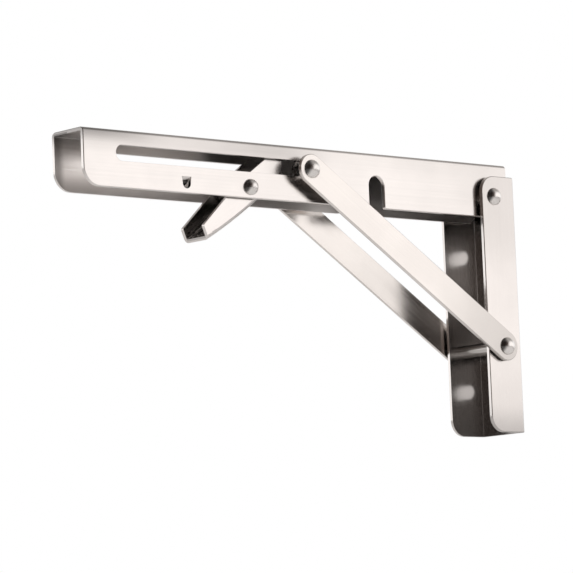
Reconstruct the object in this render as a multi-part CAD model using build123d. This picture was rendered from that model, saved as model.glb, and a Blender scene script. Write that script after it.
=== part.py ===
from build123d import *
import os
from math import acos, asin, atan2, cos, degrees, hypot, radians, sin, sqrt

# Folding bracket for a drop leaf, shown open. A channel is screwed to the wall, and a channel arm
# folds down into it. Two struts hold the arm up: their lower ends turn on the wall channel, and
# their upper ends ride on a cross pin in slots along the arm. A lever inside the arm locks the pin.
# X runs out of the wall along the open arm, Y across, Z up. The origin is on the wall, midway
# between the two wall screws. Sizes are in millimetres.

# Sheet metal
sheet = 2.0                  # thickness of the wall channel, the arm and the struts
fold_inside = 0.5            # inside radius of every fold
edge_break = 0.35            # chamfer that stands for the deburred outer edges

# Wall channel
wall_top = 78.1              # upper edge of the ears, above the origin
wall_bottom = -64.0          # lower edge
wall_depth = 25.5            # how far its sides stand out from the wall
ear_radius = 9.2             # round front corner of the ears
toe_radius = 9.0             # round front corner at the bottom
wall_screw_spacing = 76.0
wall_slot_length = 17.0      # the screw slots in the wall channel lie across it
wall_slot_width = 7.8

# Arm
arm_top = 85.5               # upper face of the arm, above the origin
arm_height = 30.0
arm_width = 26.0
arm_tip = 300.0              # distance of its tip from the wall
arm_start = 2.6              # distance of its other end from the wall
arm_tip_radius = 10.0        # round lower corner at the tip
side_gap = 1.8               # between each side of the arm and the wall channel
slot_drop = 12.0             # centre line of the slots, below the arm's upper face
slot_width = 8.35
slot_tip_end = 279.2         # outer end of the slots, from the wall
notch_out = 100.8            # centre of the notch that clears the foot tube when folded
notch_width = 11.0
notch_drop = 12.4            # top of the notch, below the arm's upper face
notch_lip_radius = 1.0       # rounding where the notch meets the arm's lower edge
shelf_screw_first = 50.0     # first screw hole in the arm's web, from the wall
shelf_screw_spacing = 90.0
shelf_screw_count = 3
shelf_screw_radius = 3.25
tongue_out = 233.4           # centre of the lanced tongue that holds the spring, from the wall
tongue_drop = 21.4           # its fixed upper edge, below the arm's upper face
tongue_width = 6.2
tongue_length = 6.2
tongue_end_radius = 2.6
tongue_angle = 40.0          # how far it is pushed in, in degrees
lance_gap = 0.45             # width of the cut round it

# Pivots
hinge_out = 16.3             # arm hinge, from the wall
hinge_drop = 18.8            # below the arm's upper face
foot_out = 14.6              # lower pivot of the struts, from the wall
foot_below_hinge = 83.5      # and below the arm hinge
latch_out = 153.0            # cross pin when the arm is locked open, from the wall
pin_drop = 1.0               # the pin lies this far below the slots' centre line
lever_out = 190.1            # lever pivot, from the wall
lever_drop = 24.1            # below the arm's upper face
fold_angle = 90.0            # how far the arm folds down, in degrees

# Struts
strut_width = 16.0
strut_standoff = 1.3         # between each strut and the wall channel

# Rivets, tubes and washers
shank_radius = 2.5
head_radius = 4.8
head_height = 3.4
pin_head_radius = 4.95
pin_head_height = 3.7
lever_head_radius = 4.3
lever_head_height = 3.9
head_rim = 0.4               # straight side of each head, below its dome
tube_wall = 1.0
hinge_washer_radius = 7.0
foot_washer_radius = 6.0
lever_washer_radius = 5.2
shoulder_radius = 4.8        # outer collar of the cross pin's shoulders
lip_thickness = 0.9          # inner lip of the cross pin's shoulders
lip_overhang = 0.5           # how far that lip stands over the slot's edge
play = 0.05                  # clearance round a shank and beside a turning face
slot_play = 0.15             # clearance each side of the cross pin in the slots
pin_gap = 0.35               # between the shoulders and the struts

# Release lever
lever_gap = 1.5              # between each side of the lever and the arm
lever_sheet = 2.0
lever_web_end = -11.2        # where the lever's web stops, from its pivot towards the nose
nose_radius = 2.2
handle_radius = 1.0
lever_corners = {            # outline of its sides, measured out and up from its pivot
    "heel": (-16.8, 18.3),
    "nose_top": (-25.4, 17.1),
    "nose_low": (-23.8, 8.0),
    "sole": (-22.5, 5.6),
    "belly": (5.6, -15.5),
    "tip": (27.0, -28.6),
    "thumb": (30.0, -21.2),
    "elbow": (4.3, 3.5),
}

# Lever spring
wire = 1.3
spring_turns = 5
spring_pitch = 1.6
spring_clearance = 0.3       # between the spring and the sleeve, web and tongue that it lies against
spring_seat = 0.25           # where its leg ends on the handle, as a share from the tip to the belly
spring_bend = 2.2            # radius of the bend that hooks it under the tongue

# Worked out from the sizes above
arm_half = arm_width / 2
arm_inner = arm_half - sheet
wall_inner = arm_half + side_gap
wall_half = wall_inner + sheet
strut_inner = wall_half + strut_standoff
strut_outer = strut_inner + sheet
lever_half = arm_inner - lever_gap
lever_inner = lever_half - lever_sheet
fold_outside = fold_inside + sheet
hinge_up = arm_top - hinge_drop
foot_up = hinge_up - foot_below_hinge
slot_up = arm_top - slot_drop
pin_up = slot_up - pin_drop
lever_up = arm_top - lever_drop
tube_radius = shank_radius + play + tube_wall
strut_length = hypot(latch_out - foot_out, pin_up - foot_up)
arm_bottom = arm_top - arm_height
heel_radius = hinge_out - arm_start
pieces = {}


def across(sketch, y_low, y_high):
    """A flat shape drawn in X and Z, as thick as from y_low to y_high."""
    side = Plane(origin=(0, y_high, 0), x_dir=(1, 0, 0), z_dir=(0, -1, 0))
    return extrude(side * sketch, amount=y_high - y_low)


def rod(x, z, radius, y_low, y_high):
    return across(Pos(x, z) * Circle(radius), y_low, y_high)


def sleeve(x, z, bore, radius, y_low, y_high):
    return across(Pos(x, z) * (Circle(radius) - Circle(bore)), y_low, y_high)


def block(x_low, x_high, y_low, y_high, z_low, z_high):
    centre = ((x_low + x_high) / 2, (y_low + y_high) / 2, (z_low + z_high) / 2)
    return Pos(*centre) * Box(x_high - x_low, y_high - y_low, z_high - z_low)


def left_and_right(name, shape):
    """Keeps a piece drawn on the +Y side, and its mirror image, under two names."""
    pieces[name + "_left"] = shape
    pieces[name + "_right"] = mirror(shape, Plane.XZ)


def dome(radius, height, seat):
    """Half outline of a domed head that sits on the plane y = seat: foot, rim, middle and top."""
    rise = height - head_rim
    ball = (radius ** 2 + rise ** 2) / (2 * rise)
    half_turn = asin(min(1.0, radius / ball)) / 2
    middle = (ball * sin(half_turn), seat + height - ball + ball * cos(half_turn))
    return (radius, seat), (radius, seat + head_rim), middle, (0, seat + height)


def rivet(x, z, seat, shank, radius, height):
    """A rivet across the bracket, with a domed head on each of the faces y = seat and y = -seat."""
    foot, rim, middle, top = dome(radius, height, seat)
    low = [(point[0], -point[1]) for point in (foot, rim, middle, top)]
    outline = [
        ThreePointArc(top, middle, rim),
        Polyline(rim, foot, (shank, seat), (shank, -seat), low[0], low[1]),
        ThreePointArc(low[1], low[2], low[3]),
        Line(low[3], top),
    ]
    return Pos(x, 0, z) * revolve(make_face(outline), axis=Axis.Y)


def channel_section(width, depth, bend):
    """Half-open rectangular section of a folded sheet, open towards its own +X, centred on its X."""
    outer = Pos(depth / 2, 0) * Rectangle(depth, width)
    inner = Pos(depth / 2 + sheet, 0) * Rectangle(depth, width - 2 * sheet)
    outer = fillet(outer.vertices().group_by(Axis.X)[0], bend + sheet)
    inner = fillet(inner.vertices().group_by(Axis.X)[0], bend)
    return outer - inner


def soften(body):
    """Breaks the outer edges of both sides of a channel, and of the ends that run on from them."""
    sides = body.faces().filter_by(GeomType.PLANE).filter_by(Axis.Y).sort_by(Axis.Y)
    edges = sides[0].outer_wire().edges() + sides[-1].outer_wire().edges()
    sharp = [edge for edge in edges if not is_fold(edge, body)]
    return chamfer(sharp, edge_break)


def is_fold(edge, body):
    """Tells whether an edge lies between a side and a fold, where the surface runs on smoothly."""
    for face in body.faces().filter_by(GeomType.CYLINDER):
        if abs(face.axis_of_rotation.direction.Y) < 0.5 and face.distance_to(edge.center()) < 1e-4:
            return True
    return False


def make_wall_bracket():
    section = channel_section(2 * wall_half, wall_depth, fold_inside)
    body = extrude(Pos(0, 0, wall_bottom) * section, amount=wall_top - wall_bottom)
    side = Pos(wall_depth / 2, (wall_top + wall_bottom) / 2) * Rectangle(wall_depth, wall_top - wall_bottom)
    front = side.vertices().group_by(Axis.X)[-1].sort_by(Axis.Y)
    side = fillet(front[0], toe_radius)
    side = fillet(side.vertices().group_by(Axis.X)[-1].sort_by(Axis.Y)[-1], ear_radius)
    body &= across(side, -wall_half, wall_half)
    body -= rod(hinge_out, hinge_up, shank_radius + play, -wall_half, wall_half)
    body -= rod(foot_out, foot_up, shank_radius + play, -wall_half, wall_half)
    for z in (-wall_screw_spacing / 2, wall_screw_spacing / 2):
        face = Plane(origin=(-sheet, 0, z), x_dir=(0, 1, 0), z_dir=(1, 0, 0))
        body -= extrude(face * SlotOverall(wall_slot_length, wall_slot_width), amount=3 * sheet)
    return soften(body)


def tongue_outline(inset):
    """A tongue that narrows to a round end, hanging down from the origin."""
    half, end = tongue_width / 2 - inset, tongue_end_radius - inset
    low = tongue_end_radius - tongue_length
    return make_hull([
        Line((-half, 0), (half, 0)),
        *(Pos(0, low) * Circle(end)).edges(),
    ])


def make_shelf_arm():
    section = channel_section(arm_width, arm_height, fold_inside)
    end = Plane(origin=(arm_start, 0, arm_top), x_dir=(0, 0, -1), z_dir=(1, 0, 0))
    body = extrude(end * section, amount=arm_tip - arm_start)
    # The lower corner at the tip is round, and the one at the hinge is cut on an arc about the
    # hinge, so that it clears the wall as the arm turns.
    corner = Pos(arm_tip - arm_tip_radius / 2, arm_bottom + arm_tip_radius / 2)
    square = corner * Rectangle(arm_tip_radius, arm_tip_radius)
    square -= Pos(arm_tip - arm_tip_radius, arm_bottom + arm_tip_radius) * Circle(arm_tip_radius)
    body -= across(square, -arm_half, arm_half)
    heel = Pos(arm_start, arm_bottom) * Rectangle(
        heel_radius, hinge_up - arm_bottom, align=(Align.MIN, Align.MIN)
    )
    heel -= Pos(hinge_out, hinge_up) * Circle(heel_radius)
    body -= across(heel, -arm_half, arm_half)
    # Slots for the cross pin, which rests at their inner end when the arm is locked open.
    slot_length = slot_tip_end - latch_out + slot_width / 2
    slot = Pos(latch_out - slot_width / 2 + slot_length / 2, slot_up) * SlotOverall(slot_length, slot_width)
    body -= across(slot, -arm_half, arm_half)
    # Notch, with rounded lips, that lets the folded arm pass the foot tube.
    notch_centre = arm_top - notch_drop - notch_width / 2
    notch = Pos(notch_out, notch_centre) * Circle(notch_width / 2)
    notch += Pos(notch_out, (notch_centre + arm_bottom) / 2) * Rectangle(notch_width, notch_centre - arm_bottom)
    for way in (-1, 1):
        lip_out = notch_out + way * (notch_width + notch_lip_radius) / 2
        lip = Pos(lip_out, arm_bottom + notch_lip_radius / 2) * Rectangle(notch_lip_radius, notch_lip_radius)
        lip -= Pos(lip_out + way * notch_lip_radius / 2, arm_bottom + notch_lip_radius) * Circle(notch_lip_radius)
        notch += lip
    body -= across(notch, -arm_half, arm_half)
    body -= rod(hinge_out, hinge_up, shank_radius + play, -arm_half, arm_half)
    body -= rod(lever_out, lever_up, shank_radius + play, -arm_half, arm_half)
    for count in range(shelf_screw_count):
        x = shelf_screw_first + count * shelf_screw_spacing
        body -= Pos(x, 0, arm_top - sheet / 2) * Cylinder(shelf_screw_radius, 2 * sheet)
    body = soften(body)
    # A tongue lanced in one side and pushed in about its upper edge, for the spring to hook under.
    tongue_up = arm_top - tongue_drop
    body -= across(Pos(tongue_out, tongue_up) * tongue_outline(0), arm_inner - sheet, arm_half)
    root = Pos(0, sheet / 2) * Rectangle(tongue_width - 2 * lance_gap, sheet)
    tongue = across(tongue_outline(lance_gap) + root, -sheet, 0)
    tongue = Pos(tongue_out, arm_half, tongue_up) * Rot(-tongue_angle, 0, 0) * tongue
    tongue &= block(tongue_out - tongue_width, tongue_out + tongue_width, 0, arm_half, arm_bottom, arm_top)
    return body + tongue


def make_strut():
    """The bar on the +Y side, lying from the foot pivot up to the cross pin."""
    bar = Pos(strut_length / 2, 0) * SlotCenterToCenter(strut_length, strut_width)
    bar -= Circle(shank_radius + play)
    bar -= Pos(strut_length, 0) * Circle(shank_radius + play)
    rise = degrees(atan2(pin_up - foot_up, latch_out - foot_out))
    bar = across(Pos(foot_out, foot_up) * Rot(0, 0, rise) * bar, strut_inner, strut_outer)
    rims = [edge for edge in bar.faces().sort_by(Axis.Y)[-1].outer_wire().edges()]
    return chamfer(rims, edge_break)


def circle_through(first, second, third):
    """Centre and radius of the circle through three points."""
    (ax, az), (bx, bz), (cx, cz) = first, second, third
    spread = 2 * (ax * (bz - cz) + bx * (cz - az) + cx * (az - bz))
    a, b, c = ax ** 2 + az ** 2, bx ** 2 + bz ** 2, cx ** 2 + cz ** 2
    x = (a * (bz - cz) + b * (cz - az) + c * (az - bz)) / spread
    z = (a * (cx - bx) + b * (ax - cx) + c * (bx - ax)) / spread
    return (x, z), hypot(ax - x, az - z)


def make_release_lever():
    corners = lever_corners
    sides = [
        ThreePointArc(corners["sole"], corners["belly"], corners["tip"]),
        Polyline(
            corners["tip"], corners["thumb"], corners["elbow"], corners["heel"],
            corners["nose_top"], corners["nose_low"], corners["sole"],
        ),
    ]
    outline = make_face(sides)
    outline = fillet(outline.vertices().sort_by_distance(Vector(*corners["nose_top"]))[0], nose_radius)
    outline = fillet(outline.vertices().sort_by_distance(Vector(*corners["thumb"]))[0], handle_radius)
    body = across(outline, -lever_half, lever_half)
    long_edges = body.edges().filter_by(GeomType.CIRCLE).sort_by(Edge.length)[-2:]
    body = fillet(long_edges, fold_inside + lever_sheet)
    # The inside is hollow down to the web, which follows the lower edge.
    centre, radius = circle_through(corners["sole"], corners["belly"], corners["tip"])
    hollow = rod(centre[0], centre[1], radius - lever_sheet, -lever_inner, lever_inner)
    hollow = fillet(hollow.edges().filter_by(GeomType.CIRCLE), fold_inside)
    body -= hollow
    nose = abs(corners["nose_top"][0]) + lever_web_end
    body -= block(lever_web_end - 2 * nose, lever_web_end, -lever_inner, lever_inner, -2 * nose, 2 * nose)
    body -= rod(0, 0, shank_radius + play, -lever_half, lever_half)
    return Pos(lever_out, 0, lever_up) * body


def make_lever_spring():
    """A torsion spring round the sleeve: one leg on the handle's web, one hooked under the tongue."""
    coil_radius = tube_radius + spring_clearance + wire / 2
    # The leg on the handle runs from the bottom of the coil to a seat on the web near the tip.
    corners = lever_corners
    centre, radius = circle_through(corners["sole"], corners["belly"], corners["tip"])
    tip_turn = atan2(corners["tip"][1] - centre[1], corners["tip"][0] - centre[0])
    belly_turn = atan2(corners["belly"][1] - centre[1], corners["belly"][0] - centre[0])
    seat_turn = tip_turn + (belly_turn - tip_turn) * spring_seat
    seat_radius = radius - lever_sheet - wire / 2 - spring_clearance
    seat = (centre[0] + seat_radius * cos(seat_turn), centre[1] + seat_radius * sin(seat_turn))
    handle_leg = sqrt(hypot(*seat) ** 2 - coil_radius ** 2)
    handle_slope = degrees(-atan2(seat[1], seat[0]) - atan2(coil_radius, handle_leg))
    # The leg to the tongue runs from the top of the coil to just below the tongue's end.
    reach = tongue_out - lever_out
    tongue_end = tongue_length * cos(radians(tongue_angle))
    sink = lever_drop - tongue_drop - tongue_end - wire / 2 - spring_clearance
    tongue_leg = sqrt(hypot(reach, sink) ** 2 - coil_radius ** 2)
    tongue_slope = degrees(atan2(coil_radius, tongue_leg) - atan2(sink, reach))
    # Drawn about its own axis, with local X outwards and local Y down.
    turns = spring_turns - 0.5 + (tongue_slope - handle_slope) / 360
    length = turns * spring_pitch
    coil = Rot(0, 0, 90 + handle_slope) * Helix(spring_pitch, length, coil_radius)
    start = Plane(coil @ 0, z_dir=coil % 0)
    body = sweep(start * Circle(wire / 2), path=coil, is_frenet=True)
    body += extrude(start * Circle(wire / 2), amount=-handle_leg)
    end, way = coil @ 1, coil % 1
    corner = end + way * (tongue_leg / hypot(way.X, way.Y))
    hook = Vector(corner.X, corner.Y, arm_inner + length / 2 - wire / 2 - spring_clearance)
    leg = FilletPolyline(end, corner, hook, radius=spring_bend)
    body += sweep(Plane(end, z_dir=way) * Circle(wire / 2), path=leg)
    turned = Plane(origin=(lever_out, -length / 2, lever_up), x_dir=(1, 0, 0), z_dir=(0, 1, 0))
    return turned * body


# Bodies
pieces["wall_bracket"] = make_wall_bracket()
pieces["shelf_arm"] = make_shelf_arm()
left_and_right("strut", make_strut())
pieces["release_lever"] = make_release_lever()
pieces["lever_spring"] = make_lever_spring()

# Arm hinge
pieces["hinge_rivet"] = rivet(hinge_out, hinge_up, wall_half, shank_radius, head_radius, head_height)
pieces["hinge_tube"] = sleeve(hinge_out, hinge_up, shank_radius + play, tube_radius, -arm_inner, arm_inner)
hinge_washer = sleeve(
    hinge_out, hinge_up, shank_radius + play, hinge_washer_radius, arm_half + play, wall_inner
)
left_and_right("hinge_washer", hinge_washer)

# Foot of the struts
foot_seat = strut_outer + play
pieces["foot_rivet"] = rivet(foot_out, foot_up, foot_seat, shank_radius, head_radius, head_height)
pieces["foot_tube"] = sleeve(foot_out, foot_up, shank_radius + play, tube_radius, -wall_inner, wall_inner)
foot_washer = sleeve(
    foot_out, foot_up, shank_radius + play, foot_washer_radius, wall_half, strut_inner - play
)
left_and_right("foot_washer", foot_washer)

# Cross pin, cut where it passes from the struts to the arm
foot, rim, middle, top = dome(pin_head_radius, pin_head_height, strut_outer)
head_outline = [
    ThreePointArc(top, middle, rim),
    Polyline(rim, foot, (shank_radius, strut_outer), (shank_radius, strut_inner), (0, strut_inner), top),
]
pin_head = Pos(latch_out, 0, pin_up) * revolve(make_face(head_outline), axis=Axis.Y)
left_and_right("cross_pin_head", pin_head)
neck_radius = slot_width / 2 - pin_drop - slot_play
lip_radius = slot_width / 2 + pin_drop + lip_overhang
lip_outer = arm_inner - play
shoulder = rod(latch_out, pin_up, shoulder_radius, arm_half + play, strut_inner - pin_gap)
shoulder += rod(latch_out, pin_up, neck_radius, lip_outer - lip_thickness, arm_half + play)
shoulder += rod(latch_out, pin_up, lip_radius, lip_outer - lip_thickness, lip_outer)
left_and_right("cross_pin_shoulder", shoulder)

# Lever pivot
pieces["lever_rivet"] = rivet(lever_out, lever_up, arm_half, shank_radius, lever_head_radius, lever_head_height)
pieces["lever_tube"] = sleeve(
    lever_out, lever_up, shank_radius + play, tube_radius, play - lever_inner, lever_inner - play
)
lever_washer = sleeve(
    lever_out, lever_up, shank_radius + play, lever_washer_radius, lever_half + play, arm_inner
)
left_and_right("lever_washer", lever_washer)

os.makedirs("parts", exist_ok=True)
for name, shape in pieces.items():
    export_step(shape, "parts/" + name + ".step")
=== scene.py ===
import math
import bpy
from mathutils import Matrix, Vector


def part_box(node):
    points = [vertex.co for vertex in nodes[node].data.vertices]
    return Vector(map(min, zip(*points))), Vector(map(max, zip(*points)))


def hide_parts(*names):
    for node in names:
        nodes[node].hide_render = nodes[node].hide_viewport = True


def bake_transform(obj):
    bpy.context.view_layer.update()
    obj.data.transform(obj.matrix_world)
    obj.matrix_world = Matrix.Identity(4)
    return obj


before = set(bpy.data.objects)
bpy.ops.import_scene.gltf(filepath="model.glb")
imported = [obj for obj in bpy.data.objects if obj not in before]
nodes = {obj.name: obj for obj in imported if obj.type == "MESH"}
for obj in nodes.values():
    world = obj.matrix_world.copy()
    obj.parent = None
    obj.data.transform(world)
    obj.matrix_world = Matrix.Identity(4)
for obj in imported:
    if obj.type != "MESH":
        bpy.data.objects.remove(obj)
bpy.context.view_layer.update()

scene = bpy.context.scene

# Camera, at the photo's angle: degrees, metres, and the focal length in the photo's pixels
AZIMUTH, ELEVATION, ROLL = 138.85, -6.63, -2.33
DISTANCE = 1.89434
TARGET = Vector((0.15685, 0.0, 0.012))
FOCAL_PIXELS, PHOTO_PIXELS, SENSOR = 3575.3, 573.0, 36.0


def corners(name):
    """A node's lowest and highest corners at rest, in millimetres."""
    return [Vector(corner) * 1000 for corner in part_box(name)]


def middle(name):
    low, high = corners(name)
    return (low + high) / 2


def half_inside(name):
    """Half the inner width of a channel, and a hair more, so that its inner faces count."""
    return corners(name)[1].y - SHEET + HAIR


# Places on the bracket, in millimetres in the shared frame
X, Y, Z = (1, 0, 0), (0, 1, 0), (0, 0, 1)
SHEET, HAIR = 2.0, 0.06
PIVOT = middle("lever_rivet")
STRUT = middle("cross_pin_head_left") - middle("foot_tube")
STRUT_RISE = math.atan2(STRUT.z, STRUT.x)
STRUT_WAY = (math.cos(STRUT_RISE), 0, math.sin(STRUT_RISE))
WALL_HALF, ARM_HALF, LEVER_HALF = map(half_inside, ("wall_bracket", "shelf_arm", "release_lever"))
WITHIN_WEB = corners("shelf_arm")[1].z - 1.1

# Regions: each limit is an axis, a bound, and the side of the bound that counts
WALL_INSIDE = [(Y, WALL_HALF, "abs"), (X, 1.0, "over")]
WALL_NEAR_SIDE = [(Y, WALL_HALF, "over")]
ARM_INSIDE = [(Y, ARM_HALF, "abs"), (Z, WITHIN_WEB, "under")]
ARM_FAR_INSIDE = ARM_INSIDE + [(Y, 0, "under")]
TONGUE = [
    (X, 229.4, "over"), (X, 237.4, "under"),
    (Y, 7, "over"), (Y, 12.8, "under"),
    (Z, 57.5, "over"), (Z, 64.2, "under"),
]
STRUT_INNER_FACE = [(Y, corners("strut_left")[0].y + 0.3, "under")]

# Colours of the steel
WARM = (0.845, 0.812, 0.792)
COOL = (0.805, 0.770, 0.750)
ROLLED = (0.85, 0.812, 0.783)
DOMED = (0.88, 0.85, 0.83)
TURNED = (0.6, 0.58, 0.56)
WIRE = (0.45, 0.44, 0.43)

# Grain of the steel, as a scale along each axis: small along the lines and large across them
ALONG_X = (6, 900, 900)
ALONG_Z = (900, 900, 6)

# Lever spring, by the solid's own sizes in millimetres and degrees
WIRE_RADIUS, WIRE_SIDES = 0.65, 20
COIL_RADIUS, COIL_PITCH, COIL_TURNS = 4.5, 1.6, 4.425
COIL_LENGTH = COIL_PITCH * COIL_TURNS
HANDLE_LEG, HANDLE_SLOPE, TONGUE_LEG = 32.20, 36.912, 43.17
HOOK_BEND, HOOK_END = 2.2, 10.05
LEG_STEPS, COIL_STEPS, BEND_STEPS = 24, 200, 10


def add_camera():
    a, e, r = (math.radians(v) for v in (AZIMUTH, ELEVATION, ROLL))
    back = Vector((math.sin(a) * math.cos(e), -math.cos(a) * math.cos(e), math.sin(e)))
    right = (-back).cross(Vector((0, 0, 1))).normalized()
    up = right.cross(-back)
    side = right * math.cos(r) + up * math.sin(r)
    top = -right * math.sin(r) + up * math.cos(r)
    place = TARGET + back * DISTANCE
    data = bpy.data.cameras.new("camera")
    data.sensor_width = SENSOR
    data.lens = FOCAL_PIXELS * SENSOR / PHOTO_PIXELS
    data.clip_start, data.clip_end = 0.05, 50.0
    camera = bpy.data.objects.new("camera", data)
    camera.matrix_world = Matrix((
        (side.x, top.x, back.x, place.x),
        (side.y, top.y, back.y, place.y),
        (side.z, top.z, back.z, place.z),
        (0, 0, 0, 1),
    ))
    scene.collection.objects.link(camera)
    scene.camera = camera


class Graph:
    """A node tree with short calls for the nodes used here."""

    def __init__(self, tree):
        self.tree = tree
        self.tree.nodes.clear()

    def node(self, kind, inputs=None, **settings):
        made = self.tree.nodes.new(kind)
        for key, value in settings.items():
            setattr(made, key, value)
        for key, value in (inputs or {}).items():
            self.feed(made, key, value)
        return made

    def feed(self, made, key, value):
        socket = made.inputs[key]
        if isinstance(value, bpy.types.NodeSocket):
            self.tree.links.new(value, socket)
        else:
            socket.default_value = value

    def math(self, operation, a, b=None, c=None):
        inputs = {i: v for i, v in enumerate((a, b, c)) if v is not None}
        return self.node("ShaderNodeMath", inputs, operation=operation).outputs[0]

    def product(self, values):
        result = values[0]
        for value in values[1:]:
            result = self.math("MULTIPLY", result, value)
        return result

    def less(self, amount):
        """One minus an amount."""
        return self.math("MULTIPLY_ADD", amount, -1.0, 1.0)

    def vector(self, operation, inputs):
        return self.node("ShaderNodeVectorMath", inputs, operation=operation)

    def dot(self, a, b):
        return self.vector("DOT_PRODUCT", {0: a, 1: b}).outputs["Value"]

    def scaled(self, vector, factor):
        return self.vector("SCALE", {0: vector, "Scale": factor}).outputs[0]

    def ramp(self, value, low, high, to_low=0.0, to_high=1.0):
        """A smooth change from one number to another, while the value goes from low to high."""
        return self.node("ShaderNodeMapRange", {
            "Value": value, "From Min": low, "From Max": high, "To Min": to_low, "To Max": to_high,
        }, interpolation_type="SMOOTHSTEP").outputs["Result"]

    def mix(self, factor, a, b):
        made = self.node("ShaderNodeMix", data_type="RGBA")
        factor_input, first_colour, second_colour, colour_output = 0, 6, 7, 2
        self.feed(made, factor_input, factor)
        self.feed(made, first_colour, a)
        self.feed(made, second_colour, b)
        return made.outputs[colour_output]

    def noise(self, vector, scale, detail, roughness=0.5):
        return self.node("ShaderNodeTexNoise", {
            "Vector": vector, "Scale": scale, "Detail": detail, "Roughness": roughness,
        }).outputs["Fac"]

    def coordinates(self, kind):
        return self.node("ShaderNodeTexCoord").outputs[kind]

    def place(self):
        """Object coordinates in millimetres: the shared frame, as it is at rest."""
        return self.scaled(self.coordinates("Object"), 1000.0)

    def stretched(self, scale, turn=0.0):
        """Object coordinates turned about Y by some degrees, then scaled."""
        turned = self.node("ShaderNodeMapping", {
            "Vector": self.coordinates("Object"), "Rotation": (0, math.radians(turn), 0),
        }).outputs[0]
        return self.node("ShaderNodeMapping", {"Vector": turned, "Scale": scale}).outputs[0]


def new_material(name):
    material = bpy.data.materials.new(name)
    material.use_nodes = True
    return material, Graph(material.node_tree)


# Light
def add_world():
    world = bpy.data.worlds.new("studio")
    scene.world = world
    world.use_nodes = True
    g = Graph(world.node_tree)
    way = g.coordinates("Generated")

    def patch(axis, inner, outer):
        """A soft disc of the sky about an axis, whole within inner degrees and gone past outer."""
        cosines = [math.cos(math.radians(angle)) for angle in (outer, inner)]
        return g.ramp(g.dot(way, tuple(Vector(axis).normalized())), *cosines)

    ceiling = g.ramp(g.dot(way, Z), 0.22, 0.66)
    colour = g.mix(ceiling, (1.0, 1.0, 1.0, 1), (0.38, 0.36, 0.345, 1))
    # The dark part of the room round the camera, which the rivets and the insides reflect.
    colour = g.mix(patch((0.66, 0.74, 0.10), 36, 68), colour, (0.125, 0.099, 0.087, 1))
    # The softbox that the sides of the bracket reflect.
    colour = g.mix(patch((-0.65, 0.75, 0.02), 24, 54), colour, (1.2, 1.16, 1.135, 1))
    # The bright wall behind, which the ends of the sheets reflect.
    colour = g.mix(patch((0.65, -0.75, 0.11), 12, 34), colour, (1.25, 1.23, 1.22, 1))
    studio = g.node("ShaderNodeBackground", {"Color": colour, "Strength": 1.0}).outputs[0]
    white = g.node("ShaderNodeBackground", {"Color": (1, 1, 1, 1), "Strength": 1.0}).outputs[0]
    rays = g.node("ShaderNodeLightPath")
    seen = g.node("ShaderNodeMixShader", {0: rays.outputs["Is Camera Ray"], 1: studio, 2: white})
    g.node("ShaderNodeOutputWorld", {"Surface": seen.outputs[0]})


def add_lamp():
    """A large soft lamp overhead, which the steel itself doesn't mirror."""
    place, aim = Vector((0.2, 0.1, 1.5)), Vector((0.15, 0, 0))
    data = bpy.data.lights.new("overhead", "AREA")
    data.shape = "RECTANGLE"
    data.size, data.size_y = 1.6, 1.2
    data.energy = 14
    lamp = bpy.data.objects.new("overhead", data)
    lamp.location = place
    lamp.rotation_euler = (aim - place).to_track_quat("-Z", "Y").to_euler()
    lamp.visible_glossy = False
    scene.collection.objects.link(lamp)


def add_floor():
    size, drop = 6.0, -0.225
    mesh = bpy.data.meshes.new("floor")
    mesh.from_pydata(
        [(-size, -size, drop), (size, -size, drop), (size, size, drop), (-size, size, drop)],
        [], [(0, 1, 2, 3)],
    )
    floor = bpy.data.objects.new("floor", mesh)
    scene.collection.objects.link(floor)
    material, g = new_material("floor_paper")
    clouds = g.noise(g.coordinates("Object"), 40.0, 3.0)
    tone = g.mix(clouds, (0.80, 0.795, 0.79, 1), (0.84, 0.835, 0.83, 1))
    paper = g.node("ShaderNodeBsdfPrincipled", {"Base Color": tone, "Roughness": 0.9})
    g.node("ShaderNodeOutputMaterial", {"Surface": paper.outputs[0]})
    mesh.materials.append(material)


# Metals
def steel(name, colour, roughness, grain, turn=0.0, streak=0.10, edge=0.0002, tones=(), dull=None):
    """Brushed stainless steel: fine lines along the grain, faint clouding, and softened edges.

    Streak is the strength of the lines' relief, and edge the radius of the softening in metres.
    Each of the tones takes the graph and the place in millimetres, and gives a factor for the
    colour. Dull is one more such function, for the factor by which the metal is rougher."""
    material, g = new_material(name)
    lines = g.noise(g.stretched(grain, turn), 1.0, 3.0, 0.6)
    fine = g.noise(g.stretched(tuple(3.1 * v for v in grain), turn), 1.0, 2.0)
    clouds = g.noise(g.stretched((28, 28, 28)), 1.0, 3.0, 0.55)
    clouded = tuple(0.96 * v for v in colour)
    base = g.mix(g.ramp(clouds, 0.35, 0.65), (*colour, 1), (*clouded, 1))
    place = g.place()
    shade = [g.math("MULTIPLY_ADD", lines, 0.12, 0.94)]
    # The tones paint light and shade into the colour.
    shade += [tone(g, place) for tone in tones]
    base = g.scaled(base, g.product(shade))
    rough = g.math(
        "ADD",
        g.ramp(lines, 0.3, 0.7, roughness * 0.85, roughness * 1.2),
        g.ramp(clouds, 0.3, 0.7, -0.015, 0.02),
    )
    if dull:
        rough = g.math("MULTIPLY", rough, dull(g, place))
    soft = g.node("ShaderNodeBevel", {"Radius": edge}, samples=6).outputs[0]
    relief = g.math("ADD", lines, g.math("MULTIPLY", fine, 0.6))
    bumped = g.node("ShaderNodeBump", {
        "Strength": streak, "Distance": 0.00002, "Height": relief, "Normal": soft,
    }).outputs[0]
    metal = g.node("ShaderNodeBsdfPrincipled", {
        "Base Color": base, "Metallic": 1.0, "Roughness": rough, "Normal": bumped,
    })
    g.node("ShaderNodeOutputMaterial", {"Surface": metal.outputs[0]})
    return material
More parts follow.
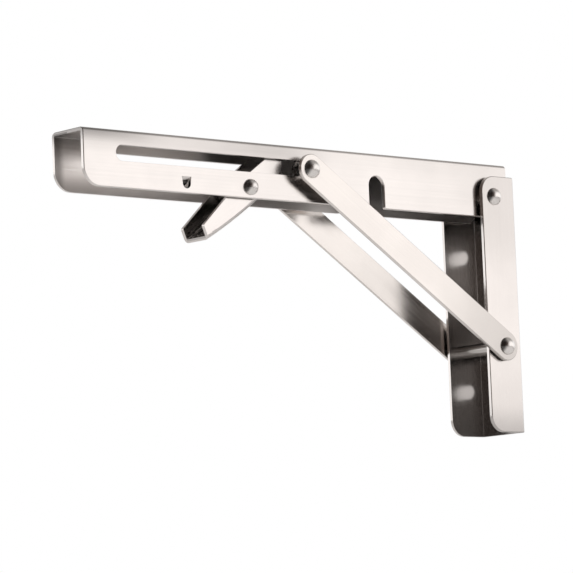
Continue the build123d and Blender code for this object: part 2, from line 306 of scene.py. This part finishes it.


# Tones: factors that depend on the place, which paint light and shade into the colour
def along(axis, low, high, at_low, at_high):
    """Changes smoothly along one direction, between two places."""
    def tone(g, place):
        return g.ramp(g.dot(place, axis), low, high, at_low, at_high)
    return tone


def within(limits, factor):
    """Keeps another tone to one region, and leaves the rest as it is."""
    def tone(g, place):
        flags = []
        for axis, bound, side in limits:
            value = g.dot(place, axis)
            if side == "abs":
                value = g.math("ABSOLUTE", value)
            flags.append(g.math("GREATER_THAN" if side == "over" else "LESS_THAN", value, bound))
        change = g.math("SUBTRACT", factor(g, place), 1.0)
        return g.math("MULTIPLY_ADD", g.product(flags), change, 1.0)
    return tone


def arm_hollow_shade_and_light(g, place):
    """Painted shade in the hollow above the lever, and painted light from below towards the tip."""
    middle = g.ramp(g.dot(place, Z), 60, 70, 0.80, 0.50)
    tip = g.ramp(g.dot(place, Z), 54, 66, 0.72, 1.12)
    outward = g.ramp(g.dot(place, X), 195, 206)
    return g.math("MULTIPLY_ADD", g.math("SUBTRACT", tip, middle), outward, middle)


def arm_dull(g, place):
    """The arm's hollow is rougher than its sides, most of all past the lever."""
    out = g.dot(place, X)
    return g.product([g.ramp(out, 194, 208, 2.0, 3.8), g.ramp(out, 258, 276, 1.0, 0.46)])


def arm_fold_reflection(g, place):
    """Painted dark reflection along the fold of the arm's side, most of all above the lever and at the
    tip.
    """
    out, up = g.dot(place, X), g.dot(place, Z)
    band = g.product([
        g.ramp(up, 71, 81), g.ramp(out, 120, 172, 0.04, 0.28), g.ramp(out, 176, 240, 1.0, 0.62),
    ])
    tip = g.product([g.ramp(up, 77, 84.5), g.ramp(out, 240, 292, 0.0, 0.5)])
    return g.math("MULTIPLY", g.less(band), g.less(tip))


def circle_through(first, second, third):
    """Centre and radius of the circle through three points."""
    (ax, az), (bx, bz), (cx, cz) = first, second, third
    spread = 2 * (ax * (bz - cz) + bx * (cz - az) + cx * (az - bz))
    a, b, c = ax ** 2 + az ** 2, bx ** 2 + bz ** 2, cx ** 2 + cz ** 2
    x = (a * (bz - cz) + b * (cz - az) + c * (az - bz)) / spread
    z = (a * (cx - bx) + b * (ax - cx) + c * (bx - ax)) / spread
    return x, z, math.hypot(ax - x, az - z)


def lever_hollow_shade(g, place):
    """Painted shade above the curve of the lever's web, which runs through sole, belly and tip."""
    sole, belly, tip = (-22.5, 5.6), (5.6, -15.5), (27.0, -28.6)
    x, z, radius = circle_through(sole, belly, tip)
    centre = tuple(PIVOT + Vector((x, 0, z)))
    gap = g.vector("SUBTRACT", {0: place, 1: centre}).outputs[0]
    flat = g.vector("MULTIPLY", {0: gap, 1: (1, 0, 1)}).outputs[0]
    reach = g.vector("LENGTH", {0: flat}).outputs["Value"]
    inset = 1.0
    deep = g.math("LESS_THAN", reach, radius - inset)
    slim = g.math("LESS_THAN", g.math("ABSOLUTE", g.dot(place, Y)), LEVER_HALF)
    return g.math("MULTIPLY_ADD", g.product([deep, slim]), -0.30, 1.0)


def dome_shade(g, place):
    """Painted shade: the rivets' heads are darker on the side that faces the free end of the arm."""
    facing = g.coordinates("Normal")
    return g.ramp(g.dot(facing, (0.97, 0.0, 0.22)), 0.36, 0.72, 1.0, 0.14)


def dress(names, material):
    for name in names:
        mesh = nodes[name].data
        mesh.materials.clear()
        mesh.materials.append(material)


def dress_wall():
    tones = [
        # Painted shade inside the channel, a little lighter towards the top.
        within(WALL_INSIDE, along(Z, -30, 45, 0.54, 0.66)),
        # Painted shade at the bottom of the near side, at the bottom and towards the top, which leaves
        # a painted soft highlight between.
        within(WALL_NEAR_SIDE, along(Z, -66, -46, 0.73, 1.0)),
        along(Z, -66, -46, 0.92, 1.0),
        along(Z, 20, 50, 1.0, 0.86),
        along(Z, -50, -20, 0.93, 1.0),
    ]
    dress(["wall_bracket"], steel("wall_steel", COOL, 0.19, ALONG_Z, tones=tones))


def dress_arm():
    tones = [
        # Painted shade and painted light in the arm's hollow.
        within(ARM_INSIDE, arm_hollow_shade_and_light),
        # Painted shade on the inner face of the far side, near the tip.
        within(ARM_FAR_INSIDE, along(X, 293, 298, 1.0, 0.55)),
        # Painted shade at the tongue's lower edge, where it opens into the arm.
        within(TONGUE, along(Z, 60.4, 63.9, 0.05, 1.0)),
        # Painted dark reflection along the fold.
        arm_fold_reflection,
        # Painted shade towards the wall end.
        along(X, 20, 110, 0.92, 1.0),
    ]
    dull = within(ARM_INSIDE, arm_dull)
    dress(["shelf_arm"], steel("arm_steel", WARM, 0.19, ALONG_X, tones=tones, dull=dull))


def dress_struts():
    near_tones = [
        # Painted shade towards the foot.
        along(STRUT_WAY, 5, 75, 0.74, 1.0),
        # Painted shade on the inner face, in the gap along the arm.
        within(STRUT_INNER_FACE, along(STRUT_WAY, 60, 120, 0.70, 0.30)),
    ]
    # Painted shade towards the foot.
    far_tones = [along(STRUT_WAY, 70, 135, 0.93, 1.0)]
    turn = math.degrees(STRUT_RISE)
    for node, name, tones in (
        ("strut_left", "near_strut_steel", near_tones),
        ("strut_right", "far_strut_steel", far_tones),
    ):
        dress([node], steel(name, ROLLED, 0.20, ALONG_X, turn=turn, tones=tones))


def dress_lever():
    # Painted shade inside the lever's channel, and towards the wall end of the lever.
    tones = [lever_hollow_shade, along(X, 165, 180, 0.92, 1.0)]
    dress(["release_lever"], steel("lever_steel", WARM, 0.19, ALONG_X, turn=-32, tones=tones))


def dress_rivets_and_tubes():
    heads = [name for name in nodes if "rivet" in name or name.startswith("cross_pin")]
    tubes = [name for name in nodes if "tube" in name or "washer" in name]
    head_steel = steel(
        "rivet_steel", DOMED, 0.24, (260, 260, 260), streak=0.05, edge=0.0001, tones=[dome_shade]
    )
    dress(heads, head_steel)
    dress(tubes, steel("tube_steel", TURNED, 0.22, (700, 40, 700), streak=0.08))


# Lever spring: one smooth wire along the solid's own route
def on_coil(share):
    """The point at a share of the coil's length, and the way that the wire runs there."""
    turn = math.radians(90 + HANDLE_SLOPE) + share * COIL_TURNS * 2 * math.pi
    across, down = math.cos(turn), math.sin(turn)
    point = Vector((COIL_RADIUS * across, (share - 0.5) * COIL_LENGTH, -COIL_RADIUS * down))
    rise = COIL_PITCH / (2 * math.pi * COIL_RADIUS)
    return point, Vector((-down, rise, -across))


def spring_route():
    """Points from the seat on the handle, round the coil, to the hook under the arm's tongue."""
    start, way = on_coil(0)
    route = [start - way * (HANDLE_LEG * (1 - i / LEG_STEPS)) for i in range(LEG_STEPS)]
    route += [on_coil(i / COIL_STEPS)[0] for i in range(COIL_STEPS)]
    end, way = on_coil(1)
    straight = TONGUE_LEG - HOOK_BEND
    route += [end + way * (straight * i / LEG_STEPS) for i in range(LEG_STEPS + 1)]
    corner = end + way * TONGUE_LEG
    for i in range(1, BEND_STEPS + 1):
        lean = math.radians(90 * i / BEND_STEPS)
        short = way * (HOOK_BEND * (1 - math.sin(lean)))
        aside = Vector((0, HOOK_BEND * (1 - math.cos(lean)), 0))
        route.append(corner - short + aside)
    route.append(Vector((corner.x, HOOK_END, corner.z)))
    return [point + PIVOT for point in route]


def wire_mesh(route):
    """A closed round wire along the points, in metres."""
    verts, faces = [], []
    side = None
    last = len(route) - 1
    for i, point in enumerate(route):
        way = (route[min(i + 1, last)] - route[max(i - 1, 0)]).normalized()
        side = side or way.orthogonal()
        side = (side - way * way.dot(side)).normalized()
        other = way.cross(side)
        for k in range(WIRE_SIDES):
            turn = 2 * math.pi * k / WIRE_SIDES
            out = side * math.cos(turn) + other * math.sin(turn)
            verts.append((point + out * WIRE_RADIUS) / 1000)
    for i in range(last):
        for k in range(WIRE_SIDES):
            a, b = i * WIRE_SIDES + k, i * WIRE_SIDES + (k + 1) % WIRE_SIDES
            faces.append((a, b, b + WIRE_SIDES, a + WIRE_SIDES))
    faces.append(tuple(reversed(range(WIRE_SIDES))))
    faces.append(tuple(range(len(verts) - WIRE_SIDES, len(verts))))
    mesh = bpy.data.meshes.new("spring_wire")
    mesh.from_pydata(verts, [], faces)
    mesh.shade_smooth()
    mesh.set_sharp_from_angle(angle=math.radians(50))
    return mesh


def add_spring():
    mesh = wire_mesh(spring_route())
    mesh.materials.append(steel("wire_steel", WIRE, 0.28, (300, 300, 300), edge=0.0001))
    wire_piece = bpy.data.objects.new("spring_wire", mesh)
    scene.collection.objects.link(wire_piece)
    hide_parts("lever_spring")
    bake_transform(wire_piece)


add_camera()
add_world()
add_floor()
add_lamp()
dress_wall()
dress_arm()
dress_struts()
dress_lever()
dress_rivets_and_tubes()
add_spring()

scene.view_settings.view_transform = "Standard"
